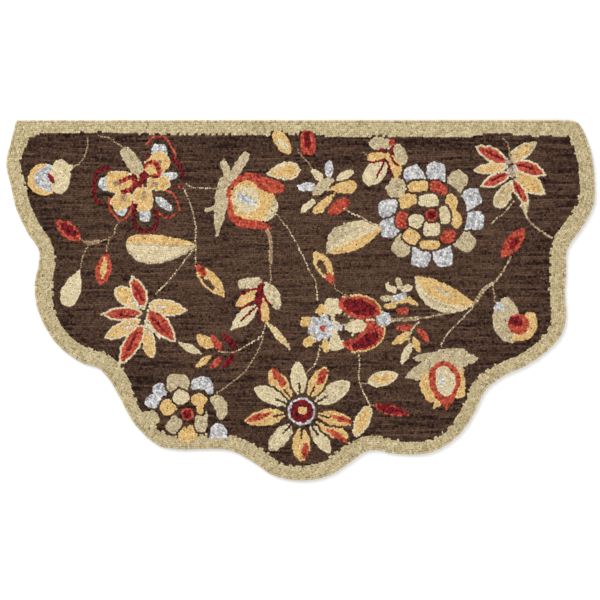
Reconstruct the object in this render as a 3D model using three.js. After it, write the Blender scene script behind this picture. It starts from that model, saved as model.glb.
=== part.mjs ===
// A half-round hearth rug, hand-hooked in wool loops through one piece of canvas.
// The straight edge lies along the hearth, and seven uneven scallops run round the front.
// Millimetres, +Z up. X runs along the straight edge, +Y points at the hearth,
// and the origin is on the floor under the middle of the rug.
import * as THREE from "three";

// Driving dimensions: a hearth rug of 44 by 27 inches, as thick as its canvas and pile together.
const WIDTH = 1118;
const DEPTH = 684;
const CANVAS_THICKNESS = 2;
const PILE_HEIGHT = 7;
const THICKNESS = CANVAS_THICKNESS + PILE_HEIGHT;

// The loops of the outer rows lean over the edge of the canvas, which rounds the rim.
const RIM_ROUND = 3.5;
const RIM_STEPS = 3;

// The finest step along the edge.
const EDGE_STEP = 7;

// The edge, from the left end of the straight side round the scallops to its right end.
// Each row is a place on the edge, and how far the edge bows outwards half-way to the next row.
const SCALLOPED_EDGE = [
  // first scallop, down the left side
  { x: -539, y: 342, bow: 0.5 },
  { x: -558, y: 260, bow: 0 },
  { x: -541, y: 180, bow: 3 },
  // second scallop, from the valley on the left side
  { x: -495, y: 92, bow: -1.5 },
  { x: -504, y: 30, bow: 7.5 },
  { x: -478, y: -60, bow: 5 },
  { x: -426, y: -111, bow: 2 },
  // third scallop, the lower left one
  { x: -384, y: -127, bow: -3.5 },
  { x: -345, y: -179, bow: 10 },
  { x: -269, y: -275, bow: 4 },
  { x: -190, y: -282, bow: -2 },
  // fourth scallop, at the middle of the front
  { x: -130, y: -285, bow: -2 },
  { x: -50, y: -332, bow: 10 },
  { x: 55, y: -332, bow: 1 },
  // fifth scallop, the lower right one
  { x: 124, y: -287, bow: -4 },
  { x: 171, y: -290, bow: 3.5 },
  { x: 250, y: -288, bow: 12 },
  { x: 334, y: -206, bow: -2 },
  // sixth scallop, from the valley on the lower right
  { x: 356, y: -165, bow: -4 },
  { x: 428, y: -124, bow: 5 },
  { x: 495, y: -66, bow: 6 },
  { x: 502, y: 10, bow: 0 },
  // seventh scallop, up the right side to its rounded corner
  { x: 507, y: 98, bow: 3 },
  { x: 557, y: 183, bow: 3 },
  { x: 553, y: 275, bow: 2.5 },
  { x: 532, y: 332, bow: 2.5 },
  { x: 514, y: 342, bow: 0 },
];

// The scalloped edge as one smooth curve, from the first row of the table to the last.
function scallopCurve() {
  const places = [];
  SCALLOPED_EDGE.forEach((row, i) => {
    const here = new THREE.Vector3(row.x, row.y, 0);
    places.push(here);
    const next = SCALLOPED_EDGE[i + 1];
    if (!next) return;
    const there = new THREE.Vector3(next.x, next.y, 0);
    const along = there.clone().sub(here).normalize();
    const outwards = new THREE.Vector3(along.y, -along.x, 0).negate();
    const middle = here.clone().add(there).multiplyScalar(0.5);
    places.push(middle.addScaledVector(outwards, -row.bow));
  });
  return new THREE.CatmullRomCurve3(places, false, "centripetal");
}

// The whole outline, anticlockwise seen from above, with even steps along the scallops
// and along the straight edge, and scaled to be exactly WIDTH by DEPTH about the origin.
function outline() {
  const curve = scallopCurve();
  const scallops = curve.getSpacedPoints(Math.round(curve.getLength() / EDGE_STEP));
  const [leftEnd, rightEnd] = [scallops[0], scallops[scallops.length - 1]];
  const straightSteps = Math.round((rightEnd.x - leftEnd.x) / (3 * EDGE_STEP));
  const points = scallops.map((p) => new THREE.Vector2(p.x, p.y));
  for (let i = 1; i < straightSteps; i++) {
    const share = i / straightSteps;
    points.push(new THREE.Vector2(rightEnd.x + (leftEnd.x - rightEnd.x) * share, leftEnd.y));
  }
  const box = new THREE.Box2().setFromPoints(points);
  const middle = box.getCenter(new THREE.Vector2());
  const size = box.getSize(new THREE.Vector2());
  const fit = new THREE.Vector2(WIDTH / size.x, DEPTH / size.y);
  return points.map((p) => p.sub(middle).multiply(fit));
}

// The outline moved inwards by a distance, point for point.
function drawnIn(points, distance) {
  return points.map((p, i) => {
    const before = points[(i + points.length - 1) % points.length];
    const after = points[(i + 1) % points.length];
    const along = after.clone().sub(before).normalize();
    return new THREE.Vector2(p.x - along.y * distance, p.y + along.x * distance);
  });
}

// The rug as one flat closed solid: a level underside, an upright edge and a rounded rim.
function rugGeometry() {
  const edge = outline();
  const rings = [{ points: edge, z: 0 }];
  for (let step = 0; step <= RIM_STEPS; step++) {
    const turn = (step / RIM_STEPS) * (Math.PI / 2);
    rings.push({
      points: drawnIn(edge, RIM_ROUND * (1 - Math.cos(turn))),
      z: THICKNESS - RIM_ROUND * (1 - Math.sin(turn)),
    });
  }
  const positions = rings.flatMap((ring) => ring.points.flatMap((p) => [p.x, p.y, ring.z]));
  const count = edge.length;
  const faces = [];
  for (let ring = 0; ring < rings.length - 1; ring++) {
    for (let i = 0; i < count; i++) {
      const low = ring * count;
      const high = low + count;
      const next = (i + 1) % count;
      faces.push(low + i, low + next, high + next, low + i, high + next, high + i);
    }
  }
  const top = (rings.length - 1) * count;
  for (const [a, b, c] of THREE.ShapeUtils.triangulateShape(rings[0].points, [])) {
    faces.push(a, c, b);
    faces.push(top + a, top + b, top + c);
  }
  const geometry = new THREE.BufferGeometry();
  geometry.setAttribute("position", new THREE.Float32BufferAttribute(positions, 3));
  geometry.setIndex(faces);
  geometry.computeVertexNormals();
  return geometry;
}

// Brown wool covers most of the rug.
const brownWool = new THREE.MeshStandardMaterial({
  color: 0x4a372e,
  roughness: 0.95,
  metalness: 0,
});

const rug = new THREE.Mesh(rugGeometry(), brownWool);
rug.name = "rug";

const hearthRug = new THREE.Group();
hearthRug.add(rug);

export default hearthRug;
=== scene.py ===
import math
from collections import namedtuple

import bpy
import numpy as np
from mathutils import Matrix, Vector


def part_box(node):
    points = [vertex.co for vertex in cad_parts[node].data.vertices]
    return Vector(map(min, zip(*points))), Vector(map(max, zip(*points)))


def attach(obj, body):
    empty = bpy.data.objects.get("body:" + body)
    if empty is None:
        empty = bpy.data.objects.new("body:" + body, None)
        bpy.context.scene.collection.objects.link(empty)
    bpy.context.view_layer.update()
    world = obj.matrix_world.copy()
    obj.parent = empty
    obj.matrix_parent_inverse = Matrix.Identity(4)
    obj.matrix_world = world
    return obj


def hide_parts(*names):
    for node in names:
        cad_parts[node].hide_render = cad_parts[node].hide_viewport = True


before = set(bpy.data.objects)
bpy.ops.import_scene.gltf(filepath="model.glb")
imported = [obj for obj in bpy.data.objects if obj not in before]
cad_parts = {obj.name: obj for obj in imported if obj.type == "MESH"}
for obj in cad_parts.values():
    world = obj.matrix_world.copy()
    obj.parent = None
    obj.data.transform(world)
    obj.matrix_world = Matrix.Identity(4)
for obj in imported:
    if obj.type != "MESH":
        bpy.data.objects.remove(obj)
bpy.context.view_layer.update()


# ---- The floor, the light and the camera ----
# The rug lies on a plain pale floor under soft light from all sides. The camera hangs
# straight above its middle and takes in the whole width.
scene = bpy.context.scene
scene.view_settings.view_transform = "Standard"

FLOOR_SIDE = 12  # metres
FLOOR_DROP = 0.0002  # keeps it clear of the underside of the rug


def laid_out(name, data):
    """Adds a mesh, a lamp or the camera to the scene."""
    thing = bpy.data.objects.new(name, data)
    scene.collection.objects.link(thing)
    return thing


def matt(name, roughness, specular):
    """A matt material: it, its shader, and how its nodes are made and joined."""
    material = bpy.data.materials.new(name)
    material.use_nodes = True
    tree = material.node_tree
    shader = tree.nodes["Principled BSDF"]
    shader.inputs["Roughness"].default_value = roughness
    shader.inputs["Specular IOR Level"].default_value = specular
    return material, shader, tree.nodes.new, tree.links.new


floor_mesh = bpy.data.meshes.new("floor")
floor_corners = [(x * FLOOR_SIDE / 2, y * FLOOR_SIDE / 2, 0) for x, y in [(-1, -1), (1, -1), (1, 1), (-1, 1)]]
floor_mesh.from_pydata(floor_corners, [], [(0, 1, 2, 3)])
floor = laid_out("floor", floor_mesh)
floor.location.z = -FLOOR_DROP
floor_paint, floor_shader, _, _ = matt("floor_paint", 0.9, 0.5)
floor_shader.inputs["Base Color"].default_value = (0.95, 0.95, 0.95, 1)
floor_mesh.materials.append(floor_paint)

sky = bpy.data.worlds.new("soft_room")
sky.use_nodes = True
sky.node_tree.nodes["Background"].inputs["Color"].default_value = (1, 1, 1, 1)
sky.node_tree.nodes["Background"].inputs["Strength"].default_value = 0.7
scene.world = sky

for name, place, size, power in [
    ("key_light", (-1.5, 1.9, 2.4), 1.6, 58),
    ("fill_light", (1.8, -1.2, 2.6), 2.4, 24),
]:
    lamp = bpy.data.lights.new(name, "AREA")
    lamp.size = size
    lamp.energy = power
    light = laid_out(name, lamp)
    light.location = place
    light.rotation_euler = (-Vector(place)).to_track_quat("-Z", "Y").to_euler()

FRAME_WIDTH = 1.1388  # metres across the picture at the height of the pile's top
FRAME_MIDDLE = (-0.0011, 0.0008)
PILE_HEIGHT = 0.009
camera = laid_out("camera", bpy.data.cameras.new("camera"))
camera.data.lens = 85
camera_height = PILE_HEIGHT + camera.data.lens / camera.data.sensor_width * FRAME_WIDTH
camera.location = (*FRAME_MIDDLE, camera_height)
scene.camera = camera


# ---- The canvas ----
# One piece of cotton canvas carries the whole rug. It is cut to the scalloped outline, painted dark on its
# face as painted shade in the gaps between the loops, and left natural on the back.
MM = 0.001
CANVAS_THICKNESS = 2.2 * MM
RUG_HEART = (0.0, 90.0)  # in millimetres; every part of the edge is in sight of it

low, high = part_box("rug")
RUG_WIDTH = (high.x - low.x) / MM
RUG_DEPTH = (high.y - low.y) / MM


def underside_edge(node):
    """The edge of the rug's flat underside in millimetres, anticlockwise from the right."""
    corners = {(round(v.co.x / MM, 2), round(v.co.y / MM, 2)) for v in node.data.vertices if v.co.z < 1e-6}
    return np.array(sorted(corners, key=lambda c: math.atan2(c[1] - RUG_HEART[1], c[0] - RUG_HEART[0])))


RUG_EDGE = underside_edge(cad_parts["rug"])


def linear(red, green, blue):
    """A colour as it is seen, 0 to 255, turned into the light it sends back."""
    shares = (red / 255, green / 255, blue / 255)
    return tuple(c / 12.92 if c <= 0.04045 else ((c + 0.055) / 1.055) ** 2.4 for c in shares)


def worked_out(node, link, operation, *values):
    """A sum of sockets and plain numbers, in any tree of nodes."""
    maths = node("ShaderNodeMath")
    maths.operation = operation
    for socket, value in zip(maths.inputs, values):
        if isinstance(value, (int, float)):
            socket.default_value = value
        else:
            link(value, socket)
    return maths.outputs[0]


def raised(shader, node, link, height, strength, distance):
    """Lets threads or fibres stand out of a surface."""
    bump = node("ShaderNodeBump")
    bump.inputs["Strength"].default_value = strength
    bump.inputs["Distance"].default_value = distance
    link(height, bump.inputs["Height"])
    link(bump.outputs["Normal"], shader.inputs["Normal"])


def canvas_mesh():
    """A flat closed sheet, cut to the edge of the rug."""
    edge = RUG_EDGE * MM
    count = len(edge)
    mesh = bpy.data.meshes.new("canvas")
    bottom = [(x, y, 0.0) for x, y in edge]
    top = [(x, y, CANVAS_THICKNESS) for x, y in edge]
    sides = [(i, (i + 1) % count, (i + 1) % count + count, i + count) for i in range(count)]
    mesh.from_pydata(bottom + top, [], sides + [tuple(range(count))[::-1], tuple(range(count, 2 * count))])
    return mesh


def canvas_cloth():
    """Plain woven cotton. Its face is painted dark as painted shade in the gaps between the loops, and the
    back is natural.
    """
    material, shader, node, link = matt("backing_canvas", 0.95, 0.2)
    place = node("ShaderNodeTexCoord")
    heights = []
    for direction in ("X", "Y"):
        threads = node("ShaderNodeTexWave")
        threads.bands_direction = direction
        threads.inputs["Scale"].default_value = 260
        threads.inputs["Distortion"].default_value = 1.2
        threads.inputs["Detail Scale"].default_value = 40
        link(place.outputs["Object"], threads.inputs["Vector"])
        heights.append(threads.outputs["Fac"])
    weave = worked_out(node, link, "MAXIMUM", *heights)
    natural = node("ShaderNodeValToRGB")
    natural.color_ramp.elements[0].color = (*linear(150, 132, 100), 1)
    natural.color_ramp.elements[1].color = (*linear(206, 190, 156), 1)
    link(weave, natural.inputs["Fac"])
    height = node("ShaderNodeSeparateXYZ")
    link(place.outputs["Object"], height.inputs[0])
    # painted shade: the top face is dark so that the gaps between the loops look shaded
    gap_shade_mask = worked_out(node, link, "GREATER_THAN", height.outputs["Z"], CANVAS_THICKNESS * 0.9)
    face = node("ShaderNodeMix")
    face.data_type = "RGBA"
    link(gap_shade_mask, face.inputs["Factor"])
    link(natural.outputs["Color"], face.inputs["A"])
    face.inputs["B"].default_value = (*linear(74, 58, 44), 1)
    link(face.outputs["Result"], shader.inputs["Base Color"])
    raised(shader, node, link, weave, 0.4, 0.3 * MM)
    return material


canvas = laid_out("canvas", canvas_mesh())
canvas.data.materials.append(canvas_cloth())
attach(canvas, "root")
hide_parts("rug")


# ---- The stems ----
# Thin stems tie the flowers into one spray. Like the whole rug they are strands of wool, pulled
# up through the canvas one loop after another: a single row of tan or cream, two rows wide in
# the main branches. A fine grid of holes keeps account of where the canvas is already filled.
chance = np.random.default_rng(44)
LOOP_PITCH = 3.8  # along a row
ROW_PITCH = 4.0  # from row to row
LEAST_GAP = 3.25  # no two loops come closer than this
HOLE = 0.5  # the grid's step
STITCH = 0.5  # the step along a row's path

MARGIN = 20
GRID_LOW = np.array([-RUG_WIDTH / 2 - MARGIN, -RUG_DEPTH / 2 - MARGIN])
GRID_SIZE = (int((RUG_WIDTH + 2 * MARGIN) / HOLE), int((RUG_DEPTH + 2 * MARGIN) / HOLE))
REACH = int(LEAST_GAP / HOLE)
across = np.arange(-REACH, REACH + 1)
NEAR = np.hypot(*np.meshgrid(across, across)) * HOLE <= LEAST_GAP


def filled(outline):
    """The grid holes inside a closed outline."""
    holes = np.zeros(GRID_SIZE, bool)
    x, y = ((outline - GRID_LOW) / HOLE).T
    next_x, next_y = np.roll(x, -1), np.roll(y, -1)
    for column in range(max(int(x.min()), 0), min(int(x.max()) + 2, GRID_SIZE[0])):
        crosses = (x > column) != (next_x > column)
        share = (column - x[crosses]) / (next_x - x)[crosses]
        heights = np.sort(y[crosses] + share * (next_y - y)[crosses])
        for start, end in heights.reshape(-1, 2):
            holes[column, max(math.ceil(start), 0): max(math.ceil(end), 0)] = True
    return holes


taken = ~filled(RUG_EDGE)
Loop = namedtuple("Loop", "x y heading lean size")
loops = {}


def hole(place):
    """The grid hole that is nearest to a place."""
    return tuple(((place - GRID_LOW) / HOLE + 0.5).astype(int))


def pull_loop(place, heading, yarn, lean=0.0, size=1.0):
    """One loop of a yarn. Heading is the way its row runs, and lean is how far it falls outwards."""
    column, row = hole(place)
    window = np.s_[column - REACH: column + REACH + 1, row - REACH: row + REACH + 1]
    taken[window] |= NEAR
    loops.setdefault(yarn, []).append(Loop(place[0], place[1], heading, lean, size))


def evenly(path, closed=False):
    """A path as points a stitch apart, back to its start where it is closed."""
    if closed:
        path = np.concatenate([path, path[:1]])
    steps = np.hypot(*np.diff(path, axis=0).T)
    along = np.concatenate([[0], np.cumsum(steps)])
    at = np.linspace(0, along[-1], max(int(along[-1] / STITCH), 1) + 1)
    return np.stack([np.interp(at, along, path[:, 0]), np.interp(at, along, path[:, 1])], 1)


def hook_along(path, yarn, pitch=LOOP_PITCH, turn=0.0, lean=0.0, size=1.0):
    """A row of loops along a path, wherever the canvas is free. The yarns of a blend are mixed by chance.
    The pitch is counted in threads of the canvas, across and down, so a slanting row is a little closer."""
    blend = yarn.split("+")
    last = None
    ways = np.gradient(path, axis=0) if len(path) > 1 else np.array([[1.0, 0.0]])
    for place, way in zip(path, ways):
        if last is not None and np.abs(place - last).sum() < pitch:
            continue
        if not taken[hole(place)]:
            picked = blend[0] if len(blend) == 1 else blend[chance.integers(len(blend))]
            pull_loop(place, math.atan2(way[1], way[0]) + turn, picked, lean, size)
            last = place


def smooth(points):
    """A smooth curve through a few points, ends included (Catmull-Rom)."""
    points = np.array(points, float)
    points = np.concatenate([[2 * points[0] - points[1]], points, [2 * points[-1] - points[-2]]])
    t = np.linspace(0, 1, 12, endpoint=False)[:, None]
    pieces = []
    for a, b, c, d in zip(points, points[1:], points[2:], points[3:]):
        curve = 2 * b + (c - a) * t + (2 * a - 5 * b + 4 * c - d) * t**2 + (3 * b - a - 3 * c + d) * t**3
        pieces.append(curve / 2)
    return evenly(np.concatenate([*pieces, [points[-2]]]))


def leftward(way):
    """The left-hand side of each step of a way, one millimetre long."""
    way = way / np.maximum(np.hypot(*way.T), 1e-9)[:, None]
    return np.stack([-way[:, 1], way[:, 0]], 1)


def beside(path, distance):
    """A path shifted to its left."""
    return path + leftward(np.gradient(path, axis=0)) * distance


def hook_line(yarn, *points, size=0.7):
    """A single row along a smooth curve."""
    hook_along(smooth(points), yarn, size=size)


def hook_double(yarn, *points, size=0.9):
    """Two rows side by side along a smooth curve."""
    path = smooth(points)
    hook_along(beside(path, ROW_PITCH / 2), yarn, size=size)
    hook_along(beside(path, -ROW_PITCH / 2), yarn, size=size)


hook_line("tan", (-431, 254), (-418, 262), (-408, 278), (-405, 290), (-404, 308))
hook_line("tan", (-383, 312), (-362, 308), (-345, 296), (-337, 290))
hook_line("tan+sage", (-216, 220), (-205, 215), (-188, 214), (-160, 212))
hook_line("tan+sage", (-222, 212), (-214, 195), (-206, 175), (-199, 140), (-199, 107), (-199, 65))
hook_double("tan", (-64, 134), (-58, 120), (-56, 100), (-57, 70))
hook_line("tan", (-57, 66), (-56, 45), (-58, 30))
hook_line("tan+tan+cream", (-50, 170), (-33, 148), (-18, 128), (0, 95), (18, 55), (28, 38), (33, 0))
hook_line("tan", (-5, 285), (5, 272), (15, 262), (22, 250))
hook_line("cream+tan", (83, 175), (97, 166), (115, 158), (128, 150), (150, 142))
hook_line("tan", (63, 33), (68, 22), (75, 16), (85, 10), (95, 5))
hook_line("tan", (386, 308), (394, 297), (396, 285), (398, 272))
hook_line("tan+sage", (422, 178), (427, 164), (434, 152), (445, 140), (460, 130), (478, 118), size=1.0)
hook_line("cream+tan", (405, 188), (395, 175), (383, 162), (372, 155), (362, 145))
hook_line("tan", (-344, 150), (-351, 138), (-354, 126), (-360, 120), (-370, 116), (-383, 112))
hook_double("tan", (-383, 112), (-400, 109), (-408, 111))
hook_line("tan", (-408, 110), (-414, 114), (-418, 117))
hook_line("tan", (-403, 107), (-408, 95), (-414, 80), (-418, 65), (-420, 57))
hook_line("tan", (-364, 117), (-367, 103), (-369, 92))
hook_line("cream+tan", (-203, 98), (-215, 82), (-230, 62), (-250, 38), (-265, 22), (-275, 12))
hook_line("cream+tan", (-66, -42), (-74, -67), (-98, -83), (-125, -98), (-140, -99), (-158, -97))
hook_line("tan", (-70, -70), (-83, -100), (-103, -132), (-118, -146), (-135, -160), (-160, -177))
hook_double("tan+tan+sage", (172, -37), (200, -36), (222, -34))
hook_line("tan", (222, -34), (245, -31), (268, -27), (285, -23), size=0.9)
hook_line("tan+sage", (226, -40), (215, -52), (208, -65), (205, -80), size=0.9)
hook_line("tan+sage", (400, 83), (390, 65), (378, 45), (366, 33), size=0.95)
hook_double("tan+sage", (366, 33), (350, 22), (338, 6), (330, -5))
hook_line("tan+sage+cream", (330, -6), (325, -15), (310, -32), (295, -47), (280, -62), (272, -75), (265, -90))
hook_line("tan", (364, 30), (368, 15), (369, 0), (372, -8))
hook_line("cream+tan", (37, -85), (35, -100), (32, -112), (25, -125), (15, -133), (10, -140))
hook_line("cream+tan", (110, -95), (112, -110), (112, -155), (125, -185), (131, -197), (140, -200))
hook_line("cream+tan", (112, -157), (130, -158))


# ---- The buds and single leaves ----
# Each leaf is hooked in wool from its edge inwards, one row of each yarn, and its heart is filled
# last. Hearts of a second colour go in first, so that the rows around them follow their shape.
EDGE_ROW = ROW_PITCH / 2 - 0.1  # from the edge of a shape to its first row
GROUND_GAP = 2.0  # from the edge of a ringed shape to the row of ground round it
SLACK = 0.4  # how much closer to the edge a row may run where it turns
WANDER = 0.5  # how far an edge drawn by hand strays, about


def inset(outline, distance):
    """The row that lies a distance inside a closed outline, where there is room for it."""
    ring = evenly(outline, closed=True)
    moved = beside(ring, distance)
    gap = np.hypot(*(moved[:, None] - ring[None, ::3]).transpose(2, 0, 1)).min(1)
    return moved[gap > abs(distance) - SLACK]


def fill_gaps(holes, yarn_at):
    """A loop in each place that the rows have left bare, of the yarn for that place."""
    for column, row in np.argwhere(holes & ~taken):
        if not taken[column, row]:
            place = GRID_LOW + np.array([column, row]) * HOLE
            pull_loop(place, 0.0, yarn_at(place).split("+")[0])


def by_hand(outline):
    """No two petals are hooked alike: the outline wanders a little."""
    ring = evenly(outline, closed=True)[:-1:3]
    turn = np.linspace(0, math.tau, len(ring), endpoint=False)[:, None]
    waves = np.arange(3, max(len(ring) // 8, 4))
    size = chance.normal(0, 1, (2, len(waves))) / len(waves) ** 0.5
    swing = (np.sin(turn * waves) * size[0] + np.cos(turn * waves) * size[1]).sum(1)
    return ring - leftward(np.roll(ring, -1, 0) - np.roll(ring, 1, 0)) * WANDER * swing[:, None]


outlined = []


def hook_shape(outline, yarns, ringed=False):
    """Fills an outline with rows that follow its edge. Each row takes the next yarn, the middle the last one.
    A ringed shape gets its row of dark ground at once, so that its neighbours stay apart."""
    yarns = yarns.split()
    outline = by_hand(outline)
    inside = filled(outline)
    depth = EDGE_ROW
    row = 0
    while True:
        path = inset(outline, depth)
        path = path[[inside[hole(place)] for place in path]]
        if len(path) < 2:
            break
        hook_along(path, yarns[min(row, len(yarns) - 1)])
        depth += ROW_PITCH
        row += 1

    def yarn_at(place):
        depth = np.hypot(*(outline - place).T).min()
        return yarns[min(int(depth / ROW_PITCH), len(yarns) - 1)]

    fill_gaps(inside, yarn_at)
    outlined.append(outline)
    if ringed:
        hook_along(inset(outline, -GROUND_GAP), "brown")


# How full a blade is towards its base and its tip: 0.5 is round, 1 is pointed and 0.2 is blunt.
FULLNESS = {
    "oval": (0.5, 0.5), "leaf": (0.9, 0.9), "lance": (0.65, 0.75), "petal": (0.9, 0.5), "bud": (0.5, 0.9),
    "block": (0.22, 0.22), "drop": (1.3, 0.5), "keel": (0.35, 0.75), "sun": (0.6, 0.6),
}


def blade(base, tip, width, kind="oval", bow=0.0):
    """The outline of a petal or leaf from base to tip. A bow bends it to its left."""
    base, tip = np.array(base, float), np.array(tip, float)
    along = tip - base
    side = np.array([-along[1], along[0]]) / np.hypot(*along)
    t = (1 - np.cos(np.linspace(0, math.pi, 33)))[:, None] / 2
    a, b = FULLNESS[kind]
    peak = (a / (a + b)) ** a * (b / (a + b)) ** b
    swell = t**a * (1 - t) ** b / peak
    spine = base + along * t + side * bow * swell
    half = side * width / 2 * swell
    return np.concatenate([(spine - half), (spine + half)[-2:0:-1]])


def hook_blades(rows, ringed=False):
    """Petals or leaves one after another, each with its yarns from the edge inwards and its blade."""
    for yarns, *shape in rows:
        hook_shape(blade(*shape), yarns, ringed)


hook_blades([
    # the bud at the top left
    ("burgundy", (-479, 242), (-468, 221), 9, "leaf"),
    ("cream", (-448, 250), (-430, 254), 10),
    ("cream", (-459, 202), (-455, 268), 40),
    ("grey", (-474, 207), (-477, 259), 44, "lance", 8),
    ("gold", (-482, 200), (-489, 260), 62, "oval", 2),
    # the leaves at the left
    ("burgundy", (-424, 121), (-456, 146), 17, "leaf"),
    ("red", (-416, 113), (-465, 152), 29, "leaf"),
    ("gold", (-371, 82), (-377, 42), 12, "leaf"),
    ("red", (-368, 90), (-380, 28), 30, "leaf"),
    ("cream", (-420, 57), (-447, -11), 36, "petal"),
    # the two hollow leaves
    ("brown", (34, 79), (49, 49), 13, "leaf"),
    ("red", (48, 52), (64, 32), 15, "leaf"),
    ("gold", (25, 93), (60, 38), 31, "leaf", 1),
    ("brown", (-189, 45), (-163, 20), 10, "leaf"),
    ("red", (-201, 69), (-180, 47), 15, "petal"),
    ("gold", (-197, 60), (-145, 8), 31, "lance", 2),
    # at the top edge
    ("cream cream+gold gold", (-65, 240), (-1, 250), 35, "petal"),
    ("cream", (-42, 306), (-24, 286), 12),
    ("gold", (-50, 322), (-20, 279), 26),
    ("burgundy", (12, 321), (14, 288), 11, "block"),
    ("red", (12, 321), (16, 276), 29, "block"),
    ("cream", (-66, 314), (-58, 315), 5),
    # beside the butterfly flower
    ("sage", (-337, 289), (-304, 241), 26, "block"),
    # at the right
    ("burgundy", (415, 120), (397, 98), 14, "leaf"),
    ("red", (426, 137), (382, 82), 30, "leaf"),
    # at the lower right
    ("cream cream+gold gold", (127, -156), (186, -141), 29, "lance"),
    ("burgundy", (144, -202), (194, -213), 13, "leaf"),
    ("red+burgundy", (138, -199), (206, -217), 20, "leaf"),
    ("cream gold", (131, -200), (104, -258), 28),
])


# ---- The large leaves ----
# A large leaf has a gold half and a pale half of wool loops. They are worked on either side of
# its middle line.
hook_blades([
    ("gold", (-331, 109), (-197, 104), 18, "keel", 9),
    ("sage cream", (-331, 109), (-197, 104), 38, "bud", -19),
    ("sage", (50, 91), (112, 138), 24, "leaf", 16),
    ("cream", (50, 90), (154, 138), 36, "leaf", 18),
    ("gold", (50, 90), (154, 138), 18, "leaf", -9),
    ("sage", (256, 26), (285, 5), 9),
    ("gold", (222, 45), (330, -7), 33, "lance", -6),
    ("cream cream sage", (219, 45), (328, -9), 24, "lance", -28),
])


# ---- The butterfly flower ----
# Winged petals of gold wool with pale edges and dark eyes stand around curls of red and burgundy.
# Pale grey tips and thin curls of red and burgundy loops lie outside them.
def hook_ribbon(yarns, widths, *points, ringed=False):
    """A band along a smooth curve. Its width changes evenly from one value to the next."""
    spine = smooth(points)
    t = np.linspace(0, 1, len(spine))
    half = np.interp(t, np.linspace(0, 1, len(widths)), widths) / 2
    ends = np.sqrt(np.clip(np.minimum(t, 1 - t) * len(spine) * STITCH / half.mean(), 0, 1))
    half = (half * ends)[:, None]
    side = leftward(np.gradient(spine, axis=0))
    outline = np.concatenate([(spine - side * half)[::4], (spine + side * half)[::-4]])
    hook_shape(outline, yarns, ringed)


for curl in [
    ((-362, 251), (-380, 248), (-389, 236), (-392, 215), (-391, 195), (-380, 184)),
    ((-314, 182), (-316, 160), (-312, 138), (-294, 132), (-276, 138), (-272, 156), (-276, 172)),
    ((-245, 268), (-232, 260), (-224, 245), (-226, 232)),
]:
    hook_double("burgundy", *curl, size=0.8)
for yarn, *curl in [
    ("red", (-364, 192), (-362, 175), (-350, 157), (-341, 152), (-330, 158), (-321, 175), (-318, 190)),
    ("red", (-291, 298), (-282, 308), (-268, 311), (-254, 307), (-246, 292), (-238, 280), (-238, 268)),
    ("burgundy", (-292, 278), (-290, 270)),
    ("red", (-253, 208), (-243, 203), (-233, 185), (-229, 170)),
    ("red", (-277, 175), (-262, 160), (-250, 157), (-240, 163)),
    ("red+burgundy", (-238, 216), (-222, 216)),
]:
    hook_line(yarn, *curl, size=1.0)
hook_ribbon(
    "burgundy+red+burgundy", (8, 8, 8, 9, 9, 8),
    (-343, 223), (-332, 231), (-320, 233), (-314, 222), (-322, 211), (-342, 205),
)
hook_ribbon("burgundy", (6, 7, 6), (-318, 240), (-311, 226), (-304, 214))
hook_shape(blade((-300, 222), (-298, 246), 14, "block"), "burgundy")
hook_ribbon(
    "red+burgundy burgundy", (7, 8, 9, 10, 9, 8),
    (-298, 250), (-288, 261), (-275, 260), (-269, 248), (-270, 238), (-284, 235),
)
hook_blades([
    ("gold", (-322, 218), (-337, 217), 8),
    ("gold", (-296, 248), (-278, 247), 12),
    ("gold", (-314, 247), (-300, 212), 12, "block"),
    ("tan", (-355, 222), (-341, 222), 11),
    ("tan", (-343, 189), (-330, 198), 10),
    ("tan", (-298, 192), (-296, 207), 10),
    ("tan", (-272, 254), (-266, 266), 9),
    ("tan", (-284, 221), (-272, 220), 8),
    ("cream+gold gold", (-316, 222), (-370, 226), 44, "block"),
    ("cream+gold gold", (-320, 200), (-358, 178), 32, "block"),
    ("cream+gold gold", (-300, 216), (-298, 169), 38, "block"),
    ("cream+gold gold", (-290, 241), (-254, 276), 40, "block"),
    ("cream+gold gold", (-292, 221), (-247, 224), 29, "block"),
    ("grey", (-350, 222), (-384, 221), 28),
    ("grey", (-345, 188), (-338, 161), 24),
    ("grey", (-297, 178), (-294, 150), 21, "block"),
    ("grey", (-268, 262), (-268, 297), 30, "block"),
    ("grey", (-262, 236), (-233, 237), 15),
    ("grey", (-275, 195), (-244, 171), 16),
])


# ---- The first pomegranate ----
# The fruit is gold wool with a cream heart. Red husks close round it, and it stands in a pale
# forked calyx of the same loops.
hook_ribbon(
    "red", (5, 7, 12, 18, 27, 20),
    (-135, 186), (-135, 210), (-118, 229), (-94, 235), (-64, 220), (-30, 211),
)
hook_ribbon("red", (5, 12, 17, 17, 10), (-135, 192), (-132, 164), (-114, 148), (-84, 144), (-56, 137))
hook_blades([
    ("grey", (-119, 201), (-87, 182), 15, "block"),
    ("cream", (-126, 190), (-80, 191), 46),
    ("cream+gold", (-130, 190), (-75, 190), 54),
    ("cream+sage", (-68, 151), (-47, 192), 15, "oval", -5),
    ("gold", (-137, 191), (-48, 182), 84),
])
hook_blades([
    ("sage", (-148, 266), (-136, 232), 15, "block"),
    ("sage", (-100, 281), (-134, 228), 18, "block"),
    ("sage", (-136, 244), (-159, 119), 27, "bud", -4),
    ("sage", (-183, 170), (-156, 178), 9),
])


# ---- The sprig flower ----
# Nine small petals of mixed yarns turn round a middle that is left to the brown ground. Each is
# hooked by itself.
hook_blades([
    ("cream", (22, 248), (43, 227), 15),
    ("grey", (54, 266), (54, 233), 16),
    ("cream", (100, 246), (69, 230), 15),
    ("sage", (61, 233), (23, 201), 21),
    ("grey", (-4, 214), (28, 217), 16, "block"),
    ("gold", (50, 210), (107, 218), 25, "drop"),
    ("gold", (65, 203), (25, 165), 17, "petal"),
    ("red", (55, 165), (92, 192), 24),
    ("cream", (27, 191), (0, 167), 13),
])


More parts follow.
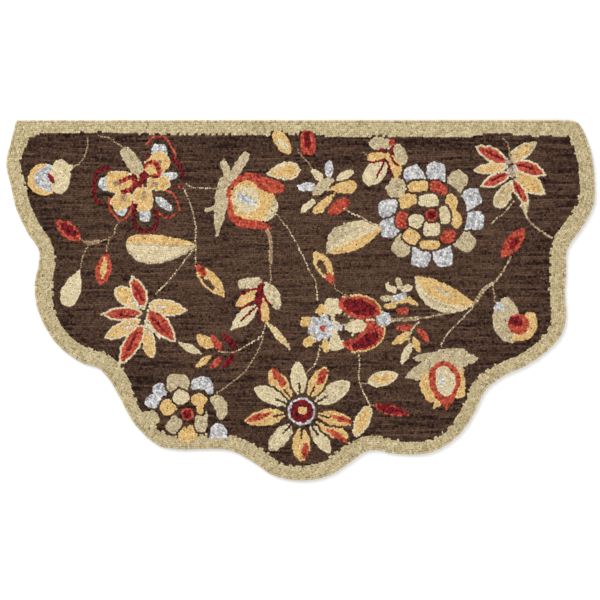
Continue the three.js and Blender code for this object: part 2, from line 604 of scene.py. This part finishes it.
# ---- The top spray ----
# A bunch of pale woollen leaves with burgundy veins hangs from the top edge. The veins are single
# rows, and they are hooked before the leaves.
def disc(centre, radius, squash=1.0):
    """A round outline, or an oval one that is lower than it is wide."""
    turn = np.linspace(0, math.tau, 48, endpoint=False)
    return np.stack([centre[0] + radius * np.cos(turn), centre[1] + radius * squash * np.sin(turn)], 1)


for vein in [
    ((145, 284), (160, 286), (175, 286)),
    ((175, 290), (172, 275), (178, 262), (186, 257)),
    ((133, 262), (150, 264), (163, 268)),
    ((160, 266), (153, 250), (145, 235)),
    ((166, 262), (170, 248), (171, 235)),
]:
    hook_line("burgundy", *vein, size=0.95)
hook_line("tan", (121, 281), (125, 276), (128, 272))
hook_shape(disc((174, 300), 6.5), "red")
hook_blades([
    ("sage", (130, 299), (174, 296), 25),
    ("sage", (182, 296), (198, 258), 23),
    ("gold", (125, 272), (169, 273), 18),
    ("gold", (160, 276), (179, 230), 21, "oval", 12),
    ("cream", (123, 221), (160, 264), 38),
    ("sage", (183, 236), (180, 195), 35, "petal"),
])


# ---- The large rosette ----
# Rings of round-headed wool petals stand one outside the other: four of cream, eight of gold and
# red, and twelve of grey and pale green at the rim. A row of dark ground parts each from the next.
def scallop(centre, angle, inner, outer, width, squareness):
    """A round-headed petal of a rosette. Its foot follows the circle at the inner radius."""
    t = np.linspace(-1, 1, 25)
    turn = math.radians(angle)
    head = (1 - np.abs(t) ** squareness) ** 0.5
    sides = t * width / 2
    foot = np.sqrt(np.maximum(inner**2 - sides**2 * 0.8, 0))
    crown = foot + (outer - foot) * head
    x = np.concatenate([crown, foot[::-1]])
    y = np.concatenate([sides, sides[::-1] * 0.92])
    return np.stack([
        centre[0] + x * math.cos(turn) - y * math.sin(turn),
        centre[1] + x * math.sin(turn) + y * math.cos(turn),
    ], 1)


ROSE = (248.5, 162)
ROSE_RIM = (68, 101)  # from the middle to the foot and to the head of the outermost petals
hook_shape(disc(ROSE, 12), "red burgundy", True)
hook_blades([
    ("cream", (224, 186), (262, 186), 24, "block", 4),
    ("cream", (268, 178), (274, 145), 20, "block", 3),
    ("cream", (265, 136), (233, 136), 29, "block"),
    ("cream", (204, 154), (236, 151), 27, "oval", -2),
    ("gold", (205, 212), (243, 216), 21, "block", 3),
    ("red", (244, 217), (276, 203), 21, "block", 5),
    ("red", (268, 112), (293, 131), 25),
    ("gold", (227, 106), (264, 105), 18, "block"),
    ("gold", (198, 130), (223, 112), 27, "block"),
    ("red", (193, 137), (194, 168), 25, "block"),
    ("gold", (189, 181), (219, 198), 25, "block"),
], True)
hook_ribbon(
    "gold", (20, 23, 13, 22, 16),
    (284, 203), (287, 186), (290, 170), (296, 154), (297, 136), ringed=True,
)
for place, angle in enumerate([114, 84, 53, 23, -7, -38, -74, -104, -133, -163, 172, 142]):
    hook_shape(scallop(ROSE, angle, *ROSE_RIM, 39, 5), "sage" if place % 3 == 2 else "grey", True)


# ---- The star lilies ----
# Two star flowers. Eight or nine pointed petals with cream edges radiate from a dark slit, filled
# with red or gold wool, and burgundy or grey veins run down their middles.
hook_line("grey", (392, 268), (393, 252), (399, 234), size=0.9)
hook_line("grey", (404, 256), (409, 240), (411, 230), size=0.9)
hook_shape(blade((396, 270), (406, 227), 11), "tan+brown")
for vein in [
    ((384, 268), (366, 277), (352, 284)),
    ((388, 240), (376, 234), (362, 227)),
    ((410, 216), (415, 205), (421, 195)),
    ((412, 257), (428, 255), (444, 249)),
]:
    hook_line("burgundy", *vein, size=0.95)
hook_blades([
    ("cream red", (393, 261), (333, 293), 29, "lance"),
    ("cream gold", (395, 256), (328, 246), 22, "lance"),
    ("cream red", (398, 242), (342, 216), 25, "lance"),
    ("cream red", (402, 231), (433, 181), 22, "lance"),
    ("cream red", (402, 260), (466, 238), 29, "lance", 2),
    ("cream sage sage+gold", (404, 230), (372, 176), 30, "petal"),
    ("cream gold", (404, 246), (463, 202), 37, "lance"),
    ("sage+cream sage+gold gold", (396, 266), (448, 300), 27, "lance"),
    ("cream+tan", (423, 188), (430, 166), 14, "bud"),
])
hook_line("brown", (-290, -8), (-298, -27), (-305, -44), size=1.1)
for vein in [
    ((-322, 0), (-306, -11)),
    ((-338, -55), (-318, -46)),
    ((-276, -13), (-253, -13)),
    ((-295, -48), (-286, -64)),
]:
    hook_line("grey", *vein, size=0.9)
for vein in [
    ((-301, 0), (-308, 14), (-314, 26)),
    ((-315, -31), (-328, -30), (-341, -28)),
    ((-314, -68), (-321, -82), (-327, -96)),
    ((-281, -34), (-270, -46), (-260, -58)),
]:
    hook_line("burgundy", *vein, size=0.95)
hook_blades([
    ("cream red", (-295, -14), (-321, 46), 30, "lance"),
    ("cream red", (-300, -24), (-377, -27), 27, "lance"),
    ("cream red", (-299, -46), (-344, -122), 33, "lance"),
    ("cream red", (-291, -17), (-238, -78), 35, "lance"),
    ("cream gold", (-296, -16), (-352, 22), 34, "petal"),
    ("cream gold", (-302, -38), (-373, -72), 29, "lance"),
    ("gold+cream gold", (-294, -48), (-283, -110), 25),
    ("cream gold", (-296, -38), (-258, -74), 14, "lance"),
    ("cream gold", (-292, -8), (-216, -20), 31, "lance"),
])


# ---- The leaf spray ----
# Six leaves of pale and gold wool hang from a knot of burgundy, whose veins run along their
# edges.
hook_shape(blade((-74, 34), (-82, -13), 15), "burgundy")
for vein in [
    ((-76, 24), (-98, 18), (-116, 10)),
    ((-80, 2), (-96, -6), (-115, -17)),
    ((-78, -8), (-78, -20), (-76, -38)),
    ((-70, 12), (-66, 0), (-58, -7), (-53, -11)),
    ((-86, -13), (-98, -24), (-113, -38)),
]:
    hook_line("burgundy", *vein, size=0.95)
hook_blades([
    ("sage+cream", (-73, 35), (-119, 31), 20, "block"),
    ("sage+cream", (-71, 34), (-40, -17), 30, "lance", 1),
    ("gold", (-79, 18), (-123, -11), 24, "leaf"),
    ("cream", (-81, -9), (-131, -54), 27, "leaf"),
    ("gold", (-73, 10), (-67, -42), 20, "petal"),
    ("cream+gold", (-64, -41), (-20, -92), 14, "leaf"),
])


# ---- The scattered petals ----
# Seven loose petals of plain wool stand in pairs on both sides of a stem. Each is hooked in one
# yarn, and the dark ground closes round it.
hook_blades([
    ("cream", (-231, -81), (-189, -101), 15, "leaf"),
    ("gold", (-198, -66), (-166, -90), 23, "leaf"),
    ("red", (-170, -65), (-149, -97), 14, "leaf"),
    ("burgundy", (-149, -62), (-117, -97), 13, "leaf"),
    ("gold", (-200, -128), (-169, -104), 13, "leaf"),
    ("red", (-171, -130), (-150, -107), 11, "leaf"),
    ("burgundy", (-148, -129), (-124, -101), 13, "leaf"),
])


# ---- The small rosette ----
# Round wool petals of many colours stand in two rings about a red and burgundy middle. The border
# runs into the lowest ones.
SMALL_ROSE = (-215, -216)
hook_shape(disc(SMALL_ROSE, 12), "red burgundy", True)
hook_shape(disc((-227, -183.5), 16, 0.88), "cream", True)
hook_shape(disc((-252, -203), 15.5), "gold", True)
hook_shape(disc((-193, -189), 15, 0.8), "gold")
hook_blades([
    ("gold", (-190, -196), (-191, -216), 13, "block"),
    ("sage", (-187, -208), (-190, -250), 24, "block"),
    ("sage", (-231, -223), (-250, -250), 26, "block"),
    ("sage", (-234, -175), (-233, -140), 43, "block"),
], True)
hook_line("brown", (-216, -237), (-216, -242), size=1.0)
hook_shape(blade((-216, -238), (-214, -268), 37, "block"), "gold")
hook_ribbon(
    "grey", (12, 24, 26, 18, 8),
    (-205, -170), (-197, -160), (-184, -157), (-174, -166), (-171, -181), ringed=True,
)
hook_ribbon("sage", (16, 26, 22, 16), (-172, -187), (-157, -193), (-150, -206), (-151, -228), ringed=True)
hook_shape(disc((-267, -171), 14), "grey")
hook_shape(disc((-280, -192), 16, 0.8), "grey")
hook_shape(scallop((-156, -262), 90, 0, 29, 36, 2.2), "grey")
hook_shape(disc((-287, -225), 19, 0.85), "khaki")
outlined.pop()  # the border takes this petal in


# ---- The sunburst daisy ----
# Eleven wool petals take turns of plain cream and of gold with a red patch near the tip. Each is
# split at its root by a dark slit, and all stand round a burgundy eye with a grey ring.
DAISY = (2, -211)
DAISY_ROOT = 32  # from the middle to where the petals begin
DAISY_SLIT = 22
hook_shape(disc((4, -209), 9, 0.8), "gold")
hook_shape(disc(DAISY, 21.5), "burgundy")
hook_shape(disc(DAISY, 26.5), "grey", True)
hook_blades([
    ("red", (34, -160), (48, -129), 14),
    ("red", (60, -220), (97, -231), 10, "leaf"),
    ("red", (50, -244), (90, -270), 10, "leaf"),
    ("red", (10, -271), (8, -300), 14),
    ("red", (-58, -214), (-102, -229), 12, "leaf"),
    ("red", (-30, -163), (-53, -130), 14),
])
for yarns, tip, width in [
    ("cream", (-7, -117), 30), ("gold", (48, -127), 30), ("cream sage+cream", (94, -156), 36),
    ("gold", (98, -231), 27), ("gold", (91, -262), 26), ("cream", (56, -289), 26), ("gold", (1, -305), 34),
    ("sage+cream cream", (-59, -285), 31), ("gold", (-104, -229), 31), ("cream", (-88, -166), 29),
    ("gold", (-59, -135), 34),
]:
    away = np.subtract(tip, DAISY).astype(float)
    away /= np.hypot(*away)
    root = DAISY + away * DAISY_ROOT
    hook_line("brown", root, root + away * DAISY_SLIT)
    hook_shape(blade(root, tip, width, "sun"), yarns, True)


# ---- The sprig in the middle right ----
# Thirteen small petals of mixed wool stand along the branch that ends in the two-lobed
# pomegranate.
hook_blades([
    ("red", (183, -20), (206, -20), 14),
    ("cream", (161, 30), (183, 15), 13),
    ("sage", (184, 44), (191, 19), 12),
    ("cream", (192, 19), (212, 27), 14),
    ("sage", (152, 3), (177, 5), 12),
    ("grey", (172, -1), (202, 12), 13),
    ("gold", (182, -6), (222, -9), 12, "oval", 8),
    ("gold", (159, -12), (183, -8), 12),
    ("red", (184, -54), (213, -50), 13),
    ("red", (222, -54), (243, -77), 13),
    ("gold", (175, -83), (210, -61), 15),
    ("gold", (215, -70), (225, -98), 13),
    ("cream", (210, -82), (192, -119), 15),
])


# ---- The bud at the right ----
# A burgundy and red heart sits between a thick gold crescent and the pale green calyx, all of
# wool loops.
hook_blades([
    ("grey", (367, -11), (387, -14), 17),
    ("burgundy", (396, -36), (421, -43), 17),
])
hook_shape(disc((414, -45), 19.5), "red")
hook_ribbon(
    "gold", (12, 18, 18, 17, 16, 9),
    (425, -27), (439, -32), (440, -50), (432, -64), (414, -70), (402, -74),
)
hook_shape(blade((402, -81), (390, 8), 54, "lance", 5), "sage")


# ---- The two-lobed pomegranate ----
# Two red lobes of wool with burgundy hearts and a thin gold edge open round a cream middle. On the
# other side grow cream petals and a small grey flower with petals of gold.
hook_line("gold", (80, 6), (102, 9), (124, 7), (141, -1), (151, -14), (154, -26), size=0.9)
hook_line("gold", (158, -46), (160, -60), (153, -77), (140, -88), (120, -96), (98, -98), size=0.9)
hook_ribbon("burgundy", (6, 20, 24, 12), (98, -89), (117, -81), (135, -71), (147, -60))
hook_blades([
    ("burgundy", (82, -3), (143, -22), 28, "oval", -1),
    ("red", (73, -2), (154, -18), 43, "oval", -4),
])
hook_ribbon("red", (16, 24, 38, 34, 18), (80, -83), (105, -84), (128, -74), (142, -60), (139, -42))
hook_blades([
    ("cream", (84, -52), (125, -47), 24),
    ("cream", (122, -35), (142, -37), 6),
    ("red", (131, -38), (128, -66), 20, "block"),
    ("brown", (65, -30), (93, -41), 16),
    ("brown", (70, -59), (98, -70), 14),
    ("grey", (66, -49), (80, -52), 9),
    ("brown+sage", (84, -22), (90, -74), 34),
])
GREY_FLOWER = (39, -52)
GREY_PETAL = 26
hook_shape(disc((42, -52), 6), "red")
for angle in range(12, 360, 60):
    turn = math.radians(angle)
    tip = (GREY_FLOWER[0] + GREY_PETAL * math.cos(turn), GREY_FLOWER[1] + GREY_PETAL * math.sin(turn))
    hook_shape(blade(GREY_FLOWER, tip, 18, "block"), "grey")
hook_blades([
    ("gold", (33, -26), (47, -12), 20, "block"),
    ("cream", (46, -10), (79, -16), 34, "block"),
    ("cream", (63, -20), (62, -84), 20, "block", 4),
    ("cream", (54, -88), (84, -82), 20, "block"),
    ("gold", (0, -39), (22, -42), 19, "block"),
    ("gold", (6, -86), (28, -68), 17, "block"),
    ("gold", (46, -74), (49, -99), 13, "block"),
    ("grey", (143, -35), (172, -36), 28),
])


# ---- The pomegranate at the lower right ----
# A red ring of wool runs to a point round the cream core. Gold crescents hold it, and it hangs
# from a crown of pale green leaves.
hook_blades([
    ("grey", (268, -139), (270, -166), 9),
    ("cream", (267, -125), (277, -182), 38, "oval", 3),
    ("red", (268, -117), (278, -206), 59, "bud", 2),
])
hook_ribbon(
    "gold", (8, 19, 21, 22, 18, 8),
    (244, -133), (237, -152), (239, -167), (249, -182), (261, -191), (254, -205),
)
hook_ribbon("gold", (8, 15, 18, 26), (303, -130), (305, -146), (304, -164), (300, -186))
hook_blades([
    ("sage", (296, -112), (199, -147), 36, "leaf"),
    ("sage", (290, -108), (214, -110), 22, "lance"),
    ("sage", (259, -100), (314, -98), 15, "block"),
    ("sage", (262, -112), (339, -111), 28, "leaf"),
    ("sage", (284, -116), (308, -138), 22),
])


# ---- The border ----
# A wide band of khaki wool runs inside the scalloped edge. Its rows follow the edge, and the
# wool lies across them. The outermost row leans over the rim of the canvas.
BORDER_WIDTHS = [  # by the direction from the rug's heart, in degrees
    (-180, 28), (-172, 34), (-163, 26), (-146, 33), (-137, 24), (-100, 29), (-94, 25), (-78, 30), (-52, 21),
    (-38, 27), (-24, 23), (-8, 29), (6, 31), (16, 27), (24, 30), (28.6, 28), (29.8, 23.5), (33, 23.5),
    (34.4, 31), (75, 31), (86, 26), (140, 26), (150, 22), (154.5, 24), (157.5, 32), (161, 26), (180, 28),
]
BORDER_ROW_PITCH = 3.85
BORDER_LOOP_PITCH = 3.7
OUTERMOST_ROW = 2.8  # from the edge of the rug
WIDEST_BORDER = 36
RAGGED = 0.4  # how far the inner end of the border strays
FIELD_GAP = 2.1  # from the edge of a flower to the row of ground round it
BARE_EDGE = 2.4
rim = evenly(RUG_EDGE, closed=True)[::3]


def border_width(places):
    """How wide the border is at each place. Its inner edge waves a little."""
    direction = np.degrees(np.arctan2(places[:, 1] - RUG_HEART[1], places[:, 0] - RUG_HEART[0]))
    return np.interp(direction, *zip(*BORDER_WIDTHS)) + 1.1 * np.sin(direction * 2.9)


def in_field(path):
    """The part of a path that lies on the dark ground, or at most a millimetre inside the border."""
    depth = np.hypot(*(path[:, None] - rim[None]).transpose(2, 0, 1)).min(1)
    return path[depth > border_width(path) - 1]


for outline in outlined:
    hook_along(in_field(inset(outline, -FIELD_GAP)), "brown")
depth = OUTERMOST_ROW
while depth < WIDEST_BORDER:
    path = inset(RUG_EDGE, depth)
    path = path[depth < border_width(path) + chance.uniform(-RAGGED, RAGGED, len(path))]
    if len(path) > 1:
        path = np.roll(path, chance.integers(len(path)), 0)  # so that the rows do not all begin in one place
        lean = max(0.0, 1 - depth / ROW_PITCH)  # only the outermost row leans
        hook_along(path, "khaki", BORDER_LOOP_PITCH, math.pi / 2, lean)
    depth += BORDER_ROW_PITCH
taken |= ~filled(inset(RUG_EDGE, BARE_EDGE))  # nothing is hooked outside the border


# ---- The field ----
# The dark ground is hooked last, in straight rows of brown wool from end to end that part round
# the pattern.
FIELD_PITCH = 3.95
FIELD_LOW = -RUG_DEPTH / 2 - ROW_PITCH
NARROWEST_BORDER = 20


def wave(x, height):
    """How far a row that starts at a height wanders from it."""
    return 2.0 * np.sin(x / 85 + height / 30) + 0.8 * np.sin(x / 31 + height / 17) + 0.3 * np.sin(x / 9)


for row_height in np.arange(FIELD_LOW, RUG_DEPTH / 2 + ROW_PITCH, FIELD_PITCH):
    x = np.arange(-RUG_WIDTH / 2, RUG_WIDTH / 2, STITCH) + chance.uniform(0, LOOP_PITCH)
    hook_along(np.stack([x, row_height + wave(x, row_height)], 1), "brown")
fill_gaps(~taken, lambda place: "khaki" if np.hypot(*(rim - place).T).min() < NARROWEST_BORDER else "brown")


# ---- How the pile settles ----
# Packed loops push each other aside until the pile is even, and a loop beside a gap spreads to
# close it. Only the outermost row stays in its place.
ELBOW_ROOM = 5.4  # loops closer than this push each other
ROUNDS = 8
PUSH = 1.1
UNREST = 0.4  # how far a settled loop strays
FULL_GAP = 4.0  # a loop with its neighbours this far off keeps its size
LEAST_SPREAD, MOST_SPREAD = 0.92, 1.3


def neighbours(spots):
    """The way from each loop to the loops round it, and how far they are (infinite where there is none)."""
    cell = ((spots - GRID_LOW) / ELBOW_ROOM).astype(int) + 1
    order = np.lexsort((cell[:, 1], cell[:, 0]))
    columns = cell.max() + 3
    key = (cell[:, 0] * columns + cell[:, 1])[order]
    rank = np.arange(len(key)) - np.searchsorted(key, key)
    room = rank.max() + 1
    crowd = np.full((columns * columns, room), -1)
    crowd[key, rank] = order
    around = [crowd[(cell[:, 0] + i) * columns + cell[:, 1] + j] for i in (-1, 0, 1) for j in (-1, 0, 1)]
    others = np.concatenate(around, 1)
    way = spots[others] - spots[:, None]
    away = np.hypot(way[..., 0], way[..., 1])
    away[(others < 0) | (away < 1e-9)] = np.inf
    return way, away


pulled = [(yarn, place) for yarn, places in loops.items() for place in places]
spots = np.array([(place.x, place.y) for _, place in pulled])
loose = np.array([place.lean == 0 for _, place in pulled])[:, None]
for _ in range(ROUNDS):
    way, away = neighbours(spots)
    push = np.clip(1 - away / ELBOW_ROOM, 0, 1) ** 2 / away
    spots = spots - PUSH * (way * push[..., None]).sum(1) * loose
spots = spots + chance.normal(0, UNREST, spots.shape) * loose
_, away = neighbours(spots)
gap = np.sort(away, 1)[:, 1:5].mean(1)
spread = np.clip(gap / FULL_GAP, LEAST_SPREAD, np.where(loose[:, 0], MOST_SPREAD, 1.0))
settled = {}
for (yarn, place), spot, size in zip(pulled, spots, spread):
    settled.setdefault(yarn, []).append(place._replace(x=spot[0], y=spot[1], size=size * place.size))


# ---- The yarns ----
# Every loop is a short bow of thick wool that stands up out of the canvas. One small loop is shaped
# here and set on each hooked place, and the loops of one yarn are one piece.
PILE_FOOT = 2.0 * MM  # the loops start in the canvas's face
PILE_TOP = high.z
LOOP_LENGTH = 5.7 * MM
LOOP_WIDTH = 5.6 * MM
FOOT_SHARE = 0.92  # of the full length and width
SHOULDER = 0.74  # of the height
RIDGE = 0.32  # of half the length, to each side
SIDES = 6
OVER_THE_EDGE = 0.45  # radians that the outermost row leans at most


def loop_shape():
    """One loop: a foot ring, a fuller shoulder ring and a short ridge on top, and the map of its faces."""
    turn = np.linspace(0, math.tau, SIDES, endpoint=False)
    ring = np.stack([np.cos(turn), np.sin(turn)], 1)
    half = np.array([LOOP_LENGTH / 2, LOOP_WIDTH / 2])
    height = PILE_TOP - PILE_FOOT
    rows = [
        np.column_stack([ring * half * FOOT_SHARE, np.zeros(SIDES)]),
        np.column_stack([ring * half, np.full(SIDES, SHOULDER * height)]),
        np.array([[-RIDGE * half[0], 0, height], [RIDGE * half[0], 0, height]]),
    ]
    left, right = 2 * SIDES, 2 * SIDES + 1
    faces = [(i, (i + 1) % SIDES, (i + 1) % SIDES + SIDES, i + SIDES) for i in range(SIDES)]
    a, b, c, d, e, f = range(SIDES, 2 * SIDES)
    faces += [(a, b, right), (b, c, left, right), (c, d, left)]
    faces += [(d, e, left), (e, f, right, left), (f, a, right)]
    faces.append(tuple(reversed(range(SIDES))))
    mesh = bpy.data.meshes.new("wool_loop")
    mesh.from_pydata(np.concatenate(rows).tolist(), [], faces)
    mesh.shade_smooth()
    # in its cell of the map the loop is spread out flat, and its foot lies in a corner
    flat = np.concatenate([ring * 0.42, ring * 0.26, [[-0.1, 0], [0.1, 0]]]) + 0.46
    foot = ring * 0.08 + 0.91
    corners = [flat[v] for face in faces[:-1] for v in face] + [foot[v] for v in faces[-1]]
    return bpy.data.objects.new("wool_loop", mesh), np.array(corners)


wool_loop, LOOP_CORNERS = loop_shape()


def hooking_tree():
    """Sets a loop on each point, turned along its row and a little uneven, and gives it its wool."""
    tree = bpy.data.node_groups.new("hooking", "GeometryNodeTree")
    for name, kind in [
        ("Places", "Geometry"), ("Loop", "Object"), ("Wool", "Material"), ("Twist", "Float"),
        ("Sway", "Float"), ("Unevenness", "Float"), ("Fullness", "Float"), ("Seed", "Int"),
    ]:
        tree.interface.new_socket(name, in_out="INPUT", socket_type=f"NodeSocket{kind}")
    tree.interface.new_socket("Pile", in_out="OUTPUT", socket_type="NodeSocketGeometry")
    node, link = tree.nodes.new, tree.links.new
    given, result = node("NodeGroupInput"), node("NodeGroupOutput")

    def maths(operation, first, second):
        return worked_out(node, link, operation, first, second)

    def by_chance(low, high, offset):
        pick = node("FunctionNodeRandomValue")
        pick.data_type = "FLOAT"
        link(maths("ADD", given.outputs["Seed"], offset), pick.inputs["Seed"])
        pick.inputs[2].default_value = low  # the first two sockets, and the first outlet, are a vector's
        pick.inputs[3].default_value = high
        return pick.outputs[1]

    def attribute(name):
        read = node("GeometryNodeInputNamedAttribute")
        read.data_type = "FLOAT"
        read.inputs["Name"].default_value = name
        return read.outputs["Attribute"]

    def scaled(amount, offset):
        return maths("MULTIPLY", amount, by_chance(-1.0, 1.0, offset))

    turn = node("ShaderNodeCombineXYZ")
    link(scaled(given.outputs["Sway"], 1), turn.inputs["X"])
    link(maths("SUBTRACT", scaled(given.outputs["Sway"], 2), attribute("lean")), turn.inputs["Y"])
    link(maths("ADD", attribute("heading"), scaled(given.outputs["Twist"], 3)), turn.inputs["Z"])
    size = node("ShaderNodeCombineXYZ")
    broad = maths("MULTIPLY", attribute("size"), given.outputs["Fullness"])
    for axis, full, offset in (("X", attribute("size"), 4), ("Y", broad, 5), ("Z", 1.0, 6)):
        uneven = maths("MULTIPLY", given.outputs["Unevenness"], by_chance(0.0, 1.0, offset))
        link(maths("MULTIPLY", full, maths("SUBTRACT", 1.0, uneven)), size.inputs[axis])

    to_turn = node("FunctionNodeEulerToRotation")
    link(turn.outputs[0], to_turn.inputs[0])
    shape = node("GeometryNodeObjectInfo")
    link(given.outputs["Loop"], shape.inputs["Object"])
    setting = node("GeometryNodeInstanceOnPoints")
    link(given.outputs["Places"], setting.inputs["Points"])
    link(shape.outputs["Geometry"], setting.inputs["Instance"])
    link(to_turn.outputs[0], setting.inputs["Rotation"])
    link(size.outputs[0], setting.inputs["Scale"])
    real = node("GeometryNodeRealizeInstances")
    link(setting.outputs["Instances"], real.inputs["Geometry"])
    dye = node("GeometryNodeSetMaterial")
    link(real.outputs["Geometry"], dye.inputs["Geometry"])
    link(given.outputs["Wool"], dye.inputs["Material"])
    link(dye.outputs["Geometry"], result.inputs["Pile"])
    return tree


HOOKING = hooking_tree()
INPUTS = {item.name: item.identifier for item in HOOKING.interface.items_tree if item.in_out == "INPUT"}
FLECK = 0.5  # how much of the way from deep to light the fibres of one loop cover


def wool(name, deep, light):
    """Matt wool. Each loop has its own tone between a deep and a light colour, and fine fibres roughen it."""
    material, shader, node, link = matt(name, 0.92, 0.12)
    shader.inputs["Sheen Weight"].default_value = 0.06
    shader.inputs["Sheen Roughness"].default_value = 0.6
    place = node("ShaderNodeTexCoord")
    fibres = node("ShaderNodeTexNoise")
    fibres.inputs["Scale"].default_value = 800
    fibres.inputs["Detail"].default_value = 3
    link(place.outputs["Object"], fibres.inputs["Vector"])
    tone = node("ShaderNodeAttribute")
    tone.attribute_name = "tone"
    flecked = worked_out(node, link, "MULTIPLY_ADD", fibres.outputs["Fac"], FLECK, tone.outputs["Fac"])
    evened = worked_out(node, link, "SUBTRACT", flecked, FLECK / 2)
    colour = node("ShaderNodeValToRGB")
    colour.color_ramp.elements[0].color = (*deep, 1)
    colour.color_ramp.elements[1].color = (*light, 1)
    link(evened, colour.inputs["Fac"])
    link(colour.outputs["Color"], shader.inputs["Base Color"])
    raised(shader, node, link, fibres.outputs["Fac"], 0.5, 0.4 * MM)
    return material


def pile(name, places, material, tones, seed, fullness=1.06, twist=0.45):
    """All the loops of one yarn as one plain mesh."""
    count = len(places)
    mesh = bpy.data.meshes.new(name)
    mesh.vertices.add(count)
    spots = np.array([(p.x * MM, p.y * MM, PILE_FOOT) for p in places])
    mesh.vertices.foreach_set("co", spots.ravel())
    for attribute, values in (
        ("heading", [p.heading for p in places]),
        ("lean", [OVER_THE_EDGE * p.lean for p in places]),
        ("size", [p.size for p in places]),
        ("tone", tones),
    ):
        layer = mesh.attributes.new(attribute, "FLOAT", "POINT")
        layer.data.foreach_set("value", np.array(values, np.float32))
    piece = laid_out(name, mesh)
    hooked = piece.modifiers.new("hooking", "NODES")
    hooked.node_group = HOOKING
    for key, value in (
        ("Loop", wool_loop), ("Wool", material), ("Twist", twist), ("Sway", 0.13), ("Unevenness", 0.13),
        ("Fullness", fullness), ("Seed", seed),
    ):
        hooked[INPUTS[key]] = value
    bpy.context.view_layer.update()
    finished = bpy.data.meshes.new_from_object(piece.evaluated_get(bpy.context.evaluated_depsgraph_get()))
    piece.modifiers.clear()
    piece.data = finished
    finished.name = name
    across = math.ceil(math.sqrt(count))
    cells = np.stack([np.arange(count) % across, np.arange(count) // across], 1)
    corners = (cells[:, None] + LOOP_CORNERS[None]) / across
    finished.uv_layers.new(name="OFBake").uv.foreach_set("vector", corners.astype(np.float32).ravel())
    for spare in [a.name for a in finished.attributes if a.name in ("heading", "lean", "size")]:
        finished.attributes.remove(finished.attributes[spare])
    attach(piece, "root")
    return piece


FIELD_PARTS = ("left", "middle", "right")
YARNS = {  # deep and light colour, and how much the tone changes from loop to loop
    "brown": ((29, 4, 0), (103, 76, 58), 0.18),
    "khaki": ((155, 137, 96), (221, 206, 167), 0.2),
    "cream": ((186, 169, 129), (236, 222, 188), 0.2),
    "gold": ((187, 144, 77), (236, 208, 149), 0.2),
    "red": ((128, 28, 19), (214, 101, 76), 0.26),
    "burgundy": ((43, 0, 2), (152, 31, 40), 0.26),
    "grey": ((137, 138, 141), (234, 232, 229), 0.28),
    "sage": ((156, 137, 103), (222, 207, 172), 0.2),
    "tan": ((122, 97, 71), (196, 169, 133), 0.25),
}
STREAK = 38  # millimetres over which the tone of a row of the ground changes
STREAK_CHANGE = 0.21
SPARE_ROWS = 8
streaks = chance.normal(
    0, STREAK_CHANGE, (int(RUG_DEPTH / FIELD_PITCH) + SPARE_ROWS, int(RUG_WIDTH / STREAK) + 3),
)
for number, (yarn, (deep, light, change)) in enumerate(YARNS.items()):
    slot = f"{yarn}_wool"
    dyed = wool(slot, linear(*deep), linear(*light))
    places = settled[yarn]
    tones = np.clip(chance.normal(0.5, change, len(places)), 0, 1)
    if yarn != "brown":
        pile(f"{yarn}_loops", places, dyed, tones, number)
        continue
    places.sort(key=lambda p: p.x)
    step = math.ceil(len(places) / len(FIELD_PARTS))
    for part, side in enumerate(FIELD_PARTS):
        here = slice(part * step, (part + 1) * step)
        x, y = np.array([(p.x, p.y) for p in places[here]]).T
        row = np.round((y - wave(x, y) - FIELD_LOW) / FIELD_PITCH).astype(int)
        stretch = (x + RUG_WIDTH / 2) / STREAK
        before = stretch.astype(int)
        streak = streaks[row, before] + (streaks[row, before + 1] - streaks[row, before]) * (stretch - before)
        depth = np.hypot(x[:, None] - rim[None, ::6, 0], y[:, None] - rim[None, ::6, 1]).min(1)
        # painted shade: the brown is darker near the border and lighter away from it
        border_shade = np.interp(depth, (25, 150), (-0.11, 0.08))  # the ground is lighter away from the border
        shade = np.clip(tones[here] + streak + border_shade, 0, 1)
        seed = 20 + part
        pile(f"brown_loops_{side}", places[here], dyed, shade, seed, fullness=0.96, twist=0.25)
bpy.data.objects.remove(wool_loop)


# ---- The rug as one cloth ----
# The canvas and the wool hooked through it belong to one body, and the rug lies flat on the floor.
# Here its edge is taken in metres.
x, y = RUG_EDGE.T * MM
